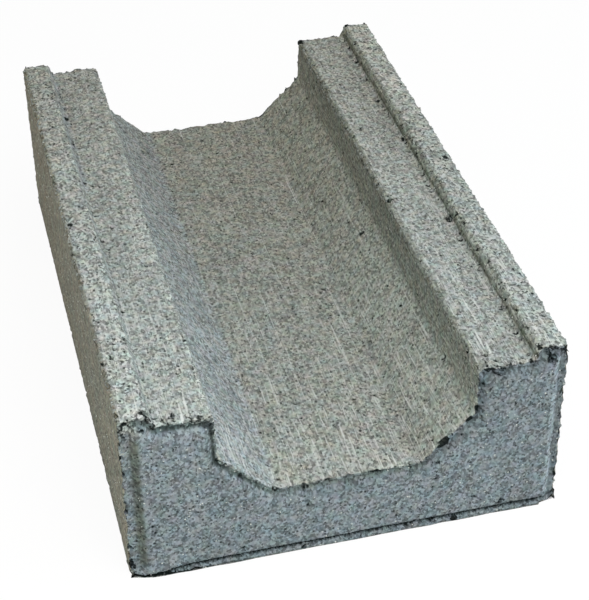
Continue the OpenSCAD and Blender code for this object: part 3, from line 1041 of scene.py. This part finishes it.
@dataclass(frozen=True)
class DryCastConcrete:
    """Dry-cast, vibration-pressed concrete: matt, open-pored, speckled by its sand, dragged by the mould.

    The tone of each face comes with the mesh, painted light and shade in part, as does the painted shade in its chips
    and creases.
    """

    name: str = "dry_cast_pressed_concrete"
    pore_and_shade: str = "#0c1211"
    # Colour of open pores, and of the painted shade in chips and creases
    drag_mark: str = "#d3d6d2"
    grain_mm: float = 1.15
    clump_mm: float = 2.0
    tint_mm: float = 5.5
    pore_mm: float = 2.3
    pit_mm: float = 7.5
    torn_mm: float = 1.1
    drawn: float = 1.35
    cloud_mm: float = 38.0
    drag_width_mm: float = 1.15
    drag_length_mm: float = 26.0
    scratch_width_mm: float = 1.0
    scratch_length_mm: float = 150.0
    streak_width_mm: float = 1.25
    streak_length_mm: float = 90.0
    grain_contrast: float = 0.8
    open_contrast: float = 0.8
    streak_contrast: float = 1.5
    bump_mm: float = 0.38

    def material(self) -> bpy.types.Material:
        """Builds the block's material."""
        made = bpy.data.materials.new(self.name)
        made.use_nodes = True
        tree = made.node_tree
        tree.nodes.clear()
        place = add_node(tree, "ShaderNodeTexCoord").outputs["Object"]
        openness = add_node(tree, "ShaderNodeAttribute", attribute_name="openness").outputs["Fac"]
        # The mould draws grains and pits a little longer along the channel
        drawn = add_node(
            tree, "ShaderNodeMapping", {"Vector": place, "Scale": (1.0, 1 / self.drawn, 0.85)}
        ).outputs[0]
        grain = self._grain_value(tree, drawn)
        speckled = self._speckled_tone(tree, place, grain, openness)
        drag = self._drag_share(tree, place)
        dragged = add_node(
            tree, "ShaderNodeMix", {0: drag, 6: speckled, 7: linear_colour(self.drag_mark)}, data_type="RGBA"
        )
        # Open pores, and painted shade in chips and creases, take the dark colour
        dark = self._dark_share(tree, drawn, openness)
        pored = add_node(
            tree, "ShaderNodeMix", {0: dark, 6: dragged.outputs[2], 7: linear_colour(self.pore_and_shade)}, data_type="RGBA"
        )
        ridges = add_node(tree, "ShaderNodeMath", {0: drag, 1: 0.35, 2: grain}, operation="MULTIPLY_ADD")
        height = add_node(tree, "ShaderNodeMath", {0: ridges.outputs[0], 1: dark}, operation="SUBTRACT")
        bump = add_node(
            tree, "ShaderNodeBump", {"Height": height.outputs[0], "Strength": 0.8, "Distance": self.bump_mm * MM}
        )
        # Light that enters a pore doesn't glint back out of it
        sheen = add_node(tree, "ShaderNodeMath", {0: dark, 1: -0.25, 2: 0.25}, operation="MULTIPLY_ADD")
        shader = add_node(
            tree,
            "ShaderNodeBsdfPrincipled",
            {
                "Base Color": pored.outputs[2],
                "Roughness": 0.93,
                "Specular IOR Level": sheen.outputs[0],
                "Normal": bump.outputs[0],
            },
        )
        add_node(tree, "ShaderNodeOutputMaterial", {"Surface": shader.outputs[0]})
        return made

    def _grain_value(self, tree: bpy.types.NodeTree, place: bpy.types.NodeSocket) -> bpy.types.NodeSocket:
        """A value from 0 to 1 that differs from sand grain to sand grain."""
        cells = add_node(tree, "ShaderNodeTexVoronoi", {"Vector": place, "Scale": 1 / (self.grain_mm * MM)})
        own = add_node(tree, "ShaderNodeSeparateColor", {0: cells.outputs["Color"]}).outputs[0]
        clumps = add_node(
            tree, "ShaderNodeTexNoise", {"Vector": place, "Scale": 1 / (self.clump_mm * MM), "Detail": 2.0}
        ).outputs["Fac"]
        wide = add_node(
            tree, "ShaderNodeMapRange", {"Value": clumps, "From Min": 0.25, "From Max": 0.75}, clamp=True
        ).outputs[0]
        return add_node(tree, "ShaderNodeMix", {0: 0.14, 2: own, 3: wide}, data_type="FLOAT").outputs[0]

    def _speckled_tone(
        self,
        tree: bpy.types.NodeTree,
        place: bpy.types.NodeSocket,
        grain: bpy.types.NodeSocket,
        openness: bpy.types.NodeSocket,
    ) -> bpy.types.NodeSocket:
        """The face's tone, lighter and darker by grain, cloud and a faint change of tint."""
        tone = add_node(tree, "ShaderNodeAttribute", attribute_name="tone").outputs["Color"]
        swing = add_node(tree, "ShaderNodeMath", {0: grain, 1: 0.5}, operation="SUBTRACT").outputs[0]
        amount = add_node(
            tree, "ShaderNodeMath", {0: openness, 1: self.open_contrast, 2: self.grain_contrast}, operation="MULTIPLY_ADD"
        ).outputs[0]
        grain_gain = add_node(tree, "ShaderNodeMath", {0: swing, 1: amount, 2: 1.0}, operation="MULTIPLY_ADD")
        cloud = add_node(
            tree, "ShaderNodeTexNoise", {"Vector": place, "Scale": 1 / (self.cloud_mm * MM), "Detail": 3.0}
        ).outputs["Fac"]
        cloud_gain = add_node(
            tree, "ShaderNodeMapRange", {"Value": cloud, "From Min": 0.3, "From Max": 0.7, "To Min": 0.93, "To Max": 1.07}
        )
        broad = add_node(
            tree, "ShaderNodeMath", {0: cloud_gain.outputs[0], 1: self._streak_gain(tree, place)}, operation="MULTIPLY"
        ).outputs[0]
        gain = add_node(
            tree, "ShaderNodeMath", {0: grain_gain.outputs[0], 1: broad}, operation="MULTIPLY"
        ).outputs[0]
        shaded = add_node(tree, "ShaderNodeVectorMath", {0: tone, "Scale": gain}, operation="SCALE").outputs[0]
        hue = add_node(
            tree, "ShaderNodeTexNoise", {"Vector": place, "Scale": 1 / (self.tint_mm * MM), "Detail": 1.0}
        ).outputs["Color"]
        tint = add_node(
            tree, "ShaderNodeVectorMath", {0: hue, 1: (0.44, 0.06, 0.32), 2: (0.78, 0.97, 0.84)}, operation="MULTIPLY_ADD"
        ).outputs[0]
        return add_node(tree, "ShaderNodeVectorMath", {0: shaded, 1: tint}, operation="MULTIPLY").outputs[0]

    def _streak_gain(self, tree: bpy.types.NodeTree, place: bpy.types.NodeSocket) -> bpy.types.NodeSocket:
        """Fine lighter and darker lines that the mould left along the block."""
        across = 1 / (self.streak_width_mm * MM)
        stretched = add_node(
            tree, "ShaderNodeMapping", {"Vector": place, "Scale": (across, 1 / (self.streak_length_mm * MM), across)}
        ).outputs[0]
        line = add_node(tree, "ShaderNodeTexNoise", {"Vector": stretched, "Scale": 1.0, "Detail": 2.0}).outputs["Fac"]
        swing = add_node(tree, "ShaderNodeMath", {0: line, 1: 0.5}, operation="SUBTRACT").outputs[0]
        streaks = add_node(tree, "ShaderNodeAttribute", attribute_name="streaks").outputs["Fac"]
        amount = add_node(tree, "ShaderNodeMath", {0: streaks, 1: self.streak_contrast}, operation="MULTIPLY").outputs[0]
        return add_node(tree, "ShaderNodeMath", {0: swing, 1: amount, 2: 1.0}, operation="MULTIPLY_ADD").outputs[0]

    def _drag_share(self, tree: bpy.types.NodeTree, place: bpy.types.NodeSocket) -> bpy.types.NodeSocket:
        """Pale marks dragged along the upward faces: short ones near the front, a few long scratches all over."""
        short = self._lines(tree, place, self.drag_width_mm, self.drag_length_mm, 0.565)
        scratches = self._lines(tree, place, self.scratch_width_mm, self.scratch_length_mm, 0.615)
        along = add_node(tree, "ShaderNodeSeparateXYZ", {0: place}).outputs["Y"]
        forward = add_node(
            tree,
            "ShaderNodeMapRange",
            {"Value": along, "From Min": 0.04, "From Max": -0.15, "To Min": 0.0, "To Max": 0.65},
            clamp=True,
        ).outputs[0]
        near = add_node(tree, "ShaderNodeMath", {0: short, 1: forward}, operation="MULTIPLY").outputs[0]
        thin = add_node(tree, "ShaderNodeMath", {0: scratches, 1: 0.5}, operation="MULTIPLY").outputs[0]
        both = add_node(tree, "ShaderNodeMath", {0: near, 1: thin}, operation="MAXIMUM").outputs[0]
        normal = add_node(tree, "ShaderNodeNewGeometry").outputs["Normal"]
        facing = add_node(tree, "ShaderNodeSeparateXYZ", {0: normal}).outputs["Z"]
        upward = add_node(
            tree, "ShaderNodeMapRange", {"Value": facing, "From Min": 0.3, "From Max": 0.7}, clamp=True
        ).outputs[0]
        # The end faces carry no streaks and no drag marks
        streaks = add_node(tree, "ShaderNodeAttribute", attribute_name="streaks").outputs["Fac"]
        dragged = add_node(
            tree, "ShaderNodeMapRange", {"Value": streaks, "From Min": 0.03, "From Max": 0.15}, clamp=True
        ).outputs[0]
        where = add_node(tree, "ShaderNodeMath", {0: upward, 1: dragged}, operation="MULTIPLY").outputs[0]
        return add_node(tree, "ShaderNodeMath", {0: both, 1: where}, operation="MULTIPLY").outputs[0]

    def _lines(
        self, tree: bpy.types.NodeTree, place: bpy.types.NodeSocket, width_mm: float, length_mm: float, least: float
    ) -> bpy.types.NodeSocket:
        """Broken lines along the block.

        Args:
            tree: The material's tree.
            place: Place on the block.
            width_mm: Width of the lines' pattern.
            length_mm: Length of it.
            least: Noise value at which a line starts; the higher, the fewer lines.

        Returns:
            1 on a line and 0 beside it.
        """
        across = 1 / (width_mm * MM)
        stretched = add_node(
            tree, "ShaderNodeMapping", {"Vector": place, "Scale": (across, 1 / (length_mm * MM), across)}
        ).outputs[0]
        value = add_node(
            tree,
            "ShaderNodeTexNoise",
            {"Vector": stretched, "Scale": 1.0, "Detail": 2.0, "Roughness": 0.6, "Distortion": 0.55},
        ).outputs["Fac"]
        return add_node(
            tree, "ShaderNodeMapRange", {"Value": value, "From Min": least, "From Max": least + 0.13}, clamp=True
        ).outputs[0]

    def _dots(
        self, tree: bpy.types.NodeTree, place: bpy.types.NodeSocket, size_mm: float, reach: tuple[float, float]
    ) -> bpy.types.NodeSocket:
        """Dark dots of many sizes, one at most in each cell.

        Args:
            tree: The material's tree.
            place: Place on the block.
            size_mm: Size of the cells.
            reach: Least and greatest radius of a dot as a share of its cell; none below 0.

        Returns:
            1 in the middle of a dot and 0 outside.
        """
        cells = add_node(tree, "ShaderNodeTexVoronoi", {"Vector": place, "Scale": 1 / (size_mm * MM)}).outputs
        own = add_node(tree, "ShaderNodeSeparateColor", {0: cells["Color"]}).outputs[0]
        radius = add_node(
            tree, "ShaderNodeMapRange", {"Value": own, "To Min": reach[0], "To Max": reach[1]}
        ).outputs[0]
        within = add_node(tree, "ShaderNodeMath", {0: radius, 1: cells["Distance"]}, operation="SUBTRACT").outputs[0]
        return add_node(
            tree, "ShaderNodeMapRange", {"Value": within, "From Min": 0.0, "From Max": 0.1}, clamp=True
        ).outputs[0]

    def _dark_share(
        self, tree: bpy.types.NodeTree, place: bpy.types.NodeSocket, openness: bpy.types.NodeSocket
    ) -> bpy.types.NodeSocket:
        """Open pores and pits, and the painted shade in chips and creases."""
        pores = self._dots(tree, place, self.pore_mm, (-0.5, 0.38))
        pits = self._dots(tree, place, self.pit_mm, (-0.1, 0.2))
        depth = add_node(tree, "ShaderNodeMath", {0: openness, 1: 0.35, 2: 0.5}, operation="MULTIPLY_ADD").outputs[0]
        opened = add_node(tree, "ShaderNodeMath", {0: pores, 1: pits}, operation="MAXIMUM").outputs[0]
        shaded = add_node(tree, "ShaderNodeMath", {0: opened, 1: depth}, operation="MULTIPLY").outputs[0]
        hollow_shade = add_node(tree, "ShaderNodeAttribute", attribute_name="hollow_shade").outputs["Fac"]
        torn = add_node(tree, "ShaderNodeTexNoise", {"Vector": place, "Scale": 1 / (self.torn_mm * MM)}).outputs["Fac"]
        deep = add_node(tree, "ShaderNodeMath", {0: torn, 1: 1.3, 2: hollow_shade}, operation="MULTIPLY_ADD").outputs[0]
        painted_hollow_shade = add_node(
            tree, "ShaderNodeMapRange", {"Value": deep, "From Min": 0.98, "From Max": 1.42, "To Max": 0.95}, clamp=True
        ).outputs[0]
        return add_node(tree, "ShaderNodeMath", {0: shaded, 1: painted_hollow_shade}, operation="MAXIMUM").outputs[0]


@dataclass(frozen=True)
class SandGrain:
    """A washed river sand grain: dull, slightly uneven in tone.

    Attributes:
        name: Name of the material.
        tone: Its middle colour.
        spread: Colour of the other grains in the mix.
    """

    name: str
    tone: str
    spread: str
    patch_mm: float = 3.0

    def material(self) -> bpy.types.Material:
        """Builds the grain's material."""
        made = bpy.data.materials.new(self.name)
        made.use_nodes = True
        tree = made.node_tree
        tree.nodes.clear()
        place = add_node(tree, "ShaderNodeTexCoord").outputs["Object"]
        patch = add_node(tree, "ShaderNodeTexNoise", {"Vector": place, "Scale": 1 / (self.patch_mm * MM)})
        tone = add_node(tree, "ShaderNodeValToRGB", {0: patch.outputs["Fac"]})
        ramp = tone.color_ramp.elements
        ramp[0].position, ramp[0].color = 0.38, linear_colour(self.tone)
        ramp[1].position, ramp[1].color = 0.62, linear_colour(self.spread)
        shader = add_node(
            tree, "ShaderNodeBsdfPrincipled", {"Base Color": tone.outputs[0], "Roughness": 0.8, "Specular IOR Level": 0.3}
        )
        add_node(tree, "ShaderNodeOutputMaterial", {"Surface": shader.outputs[0]})
        return made


# Stage


@dataclass(frozen=True)
class Studio:
    """Plain pale floor, soft lamps and the camera at the photograph's angle."""

    camera_place: tuple[float, float, float] = (-0.1920, -0.8585, 0.6774)
    camera_target: tuple[float, float, float] = (0.0266, 0.0289, 0.0)
    camera_roll: float = -0.0154
    lens_mm: float = 101.06
    floor_size: float = 12.0
    floor_colour: str = "#f4f4f2"
    floor_glow: float = 0.93

    def build(self) -> None:
        """Sets up camera, floor, lamps, world and view settings."""
        self._camera()
        self._floor()
        self._lamp("overhead_lamp", (0.05, -0.74, 1.0), 0.8, 11.4, (1.0, 1.0, 0.98))
        self._lamp("right_lamp", (1.3, -0.4, 0.7), 1.0, 8.5, (0.84, 0.98, 1.12))
        self._lamp("front_lamp", (0.0, -1.6, 0.4), 1.2, 2.6, (0.84, 0.96, 1.08))
        self._lamp("left_lamp", (-1.5, -0.1, 0.5), 1.0, 3.2, (1.0, 0.93, 0.78))
        self._world()
        bpy.context.scene.view_settings.view_transform = "Standard"

    def _camera(self) -> None:
        """Makes the camera."""
        data = bpy.data.cameras.new("camera")
        data.lens = self.lens_mm
        data.sensor_width = 36.0
        data.clip_start = 0.01
        camera = bpy.data.objects.new("camera", data)
        place = Vector(self.camera_place)
        aim = (Vector(self.camera_target) - place).to_track_quat("-Z", "Y").to_matrix().to_4x4()
        camera.matrix_world = Matrix.Translation(place) @ aim @ Matrix.Rotation(self.camera_roll, 4, "Z")
        bpy.context.scene.collection.objects.link(camera)
        bpy.context.scene.camera = camera

    def _seen(self, tree: bpy.types.NodeTree) -> bpy.types.NodeSocket:
        """1 where the camera sees a surface, by itself, in a reflection or through something clear."""
        path = add_node(tree, "ShaderNodeLightPath").outputs
        bounced = add_node(
            tree, "ShaderNodeMath", {0: path["Is Glossy Ray"], 1: path["Is Transmission Ray"]}, operation="MAXIMUM"
        ).outputs[0]
        return add_node(tree, "ShaderNodeMath", {0: path["Is Camera Ray"], 1: bounced}, operation="MAXIMUM").outputs[0]

    def _floor(self) -> None:
        """Makes the floor, which shows white to the camera and keeps a faint shadow."""
        half = self.floor_size / 2
        mesh = bpy.data.meshes.new("floor")
        mesh.from_pydata([(-half, -half, 0), (half, -half, 0), (half, half, 0), (-half, half, 0)], [], [(0, 1, 2, 3)])
        floor = bpy.data.objects.new("floor", mesh)
        bpy.context.scene.collection.objects.link(floor)
        made = bpy.data.materials.new("pale_studio_paper")
        made.use_nodes = True
        tree = made.node_tree
        tree.nodes.clear()
        matt = add_node(tree, "ShaderNodeBsdfDiffuse", {"Color": linear_colour(self.floor_colour)})
        glow = add_node(tree, "ShaderNodeEmission", {"Color": (1.0, 1.0, 1.0, 1.0), "Strength": 1.0})
        share = add_node(tree, "ShaderNodeMath", {0: self._seen(tree), 1: self.floor_glow}, operation="MULTIPLY")
        both = add_node(tree, "ShaderNodeMixShader", {0: share.outputs[0], 1: matt.outputs[0], 2: glow.outputs[0]})
        add_node(tree, "ShaderNodeOutputMaterial", {"Surface": both.outputs[0]})
        mesh.materials.append(made)

    def _lamp(
        self,
        name: str,
        place: tuple[float, float, float],
        size: float,
        watts: float,
        colour: tuple[float, float, float],
    ) -> None:
        """Adds a square soft lamp that looks at the block.

        Args:
            name: Name of the lamp.
            place: Where it hangs.
            size: Side of the square.
            watts: Its power.
            colour: Its linear colour.
        """
        data = bpy.data.lights.new(name, "AREA")
        data.size = size
        data.energy = watts
        data.color = colour
        lamp = bpy.data.objects.new(name, data)
        lamp.location = place
        lamp.rotation_mode = "QUATERNION"
        lamp.rotation_quaternion = (Vector((0, 0, 0.05)) - Vector(place)).to_track_quat("-Z", "Y")
        bpy.context.scene.collection.objects.link(lamp)

    def _world(self) -> None:
        """Lights the scene softly from all round, and shows white to the camera."""
        world = bpy.data.worlds.new("studio_world")
        world.use_nodes = True
        tree = world.node_tree
        tree.nodes.clear()
        strength = add_node(tree, "ShaderNodeMapRange", {"Value": self._seen(tree), "To Min": 0.46, "To Max": 1.0})
        sky = add_node(tree, "ShaderNodeBackground", {"Color": (1.0, 1.0, 1.0, 1.0), "Strength": strength.outputs[0]})
        add_node(tree, "ShaderNodeOutputWorld", {"Surface": sky.outputs[0]})
        bpy.context.scene.world = world


def dress(piece: bpy.types.Object) -> None:
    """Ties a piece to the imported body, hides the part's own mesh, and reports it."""
    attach(piece, BODY)
    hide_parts(NODE)
    piece.data.calc_loop_triangles()
    LOG.info("%s: %d triangles", piece.name, len(piece.data.loop_triangles))


def main() -> None:
    """Builds the block, its sand and the studio."""
    logging.basicConfig(level=logging.INFO, format="%(name)s: %(message)s")
    low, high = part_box(NODE)
    low, high = Vector(low), Vector(high)
    Studio().build()
    block = CastBlock(low=low, high=high).build()
    block.data.materials.append(DryCastConcrete().material())
    dress(block)
    scatters = [
        (
            SandScatter("pale_sand", 14000.0, 0.3 * MM, 0.7 * MM, 0.2 * MM, 7, "sandy"),
            SandGrain("washed_pale_sand", "#a3a8a2", "#bfc2bb"),
        ),
        (
            SandScatter("dark_sand", 9000.0, 0.3 * MM, 0.65 * MM, 0.25 * MM, 19, "sandy"),
            SandGrain("crushed_dark_grit", "#565c5a", "#7b7d73"),
        ),
        (
            SandScatter("arris_crumbs", 230000.0, 0.4 * MM, 1.1 * MM, 0.3 * MM, 31, "arris"),
            SandGrain("crumbled_cement_paste", "#6a706d", "#90958f"),
        ),
    ]
    for scatter, finish in scatters:
        dress(scatter.build(block, finish.material(), low, high))


if __name__ == "__main__":
    main()
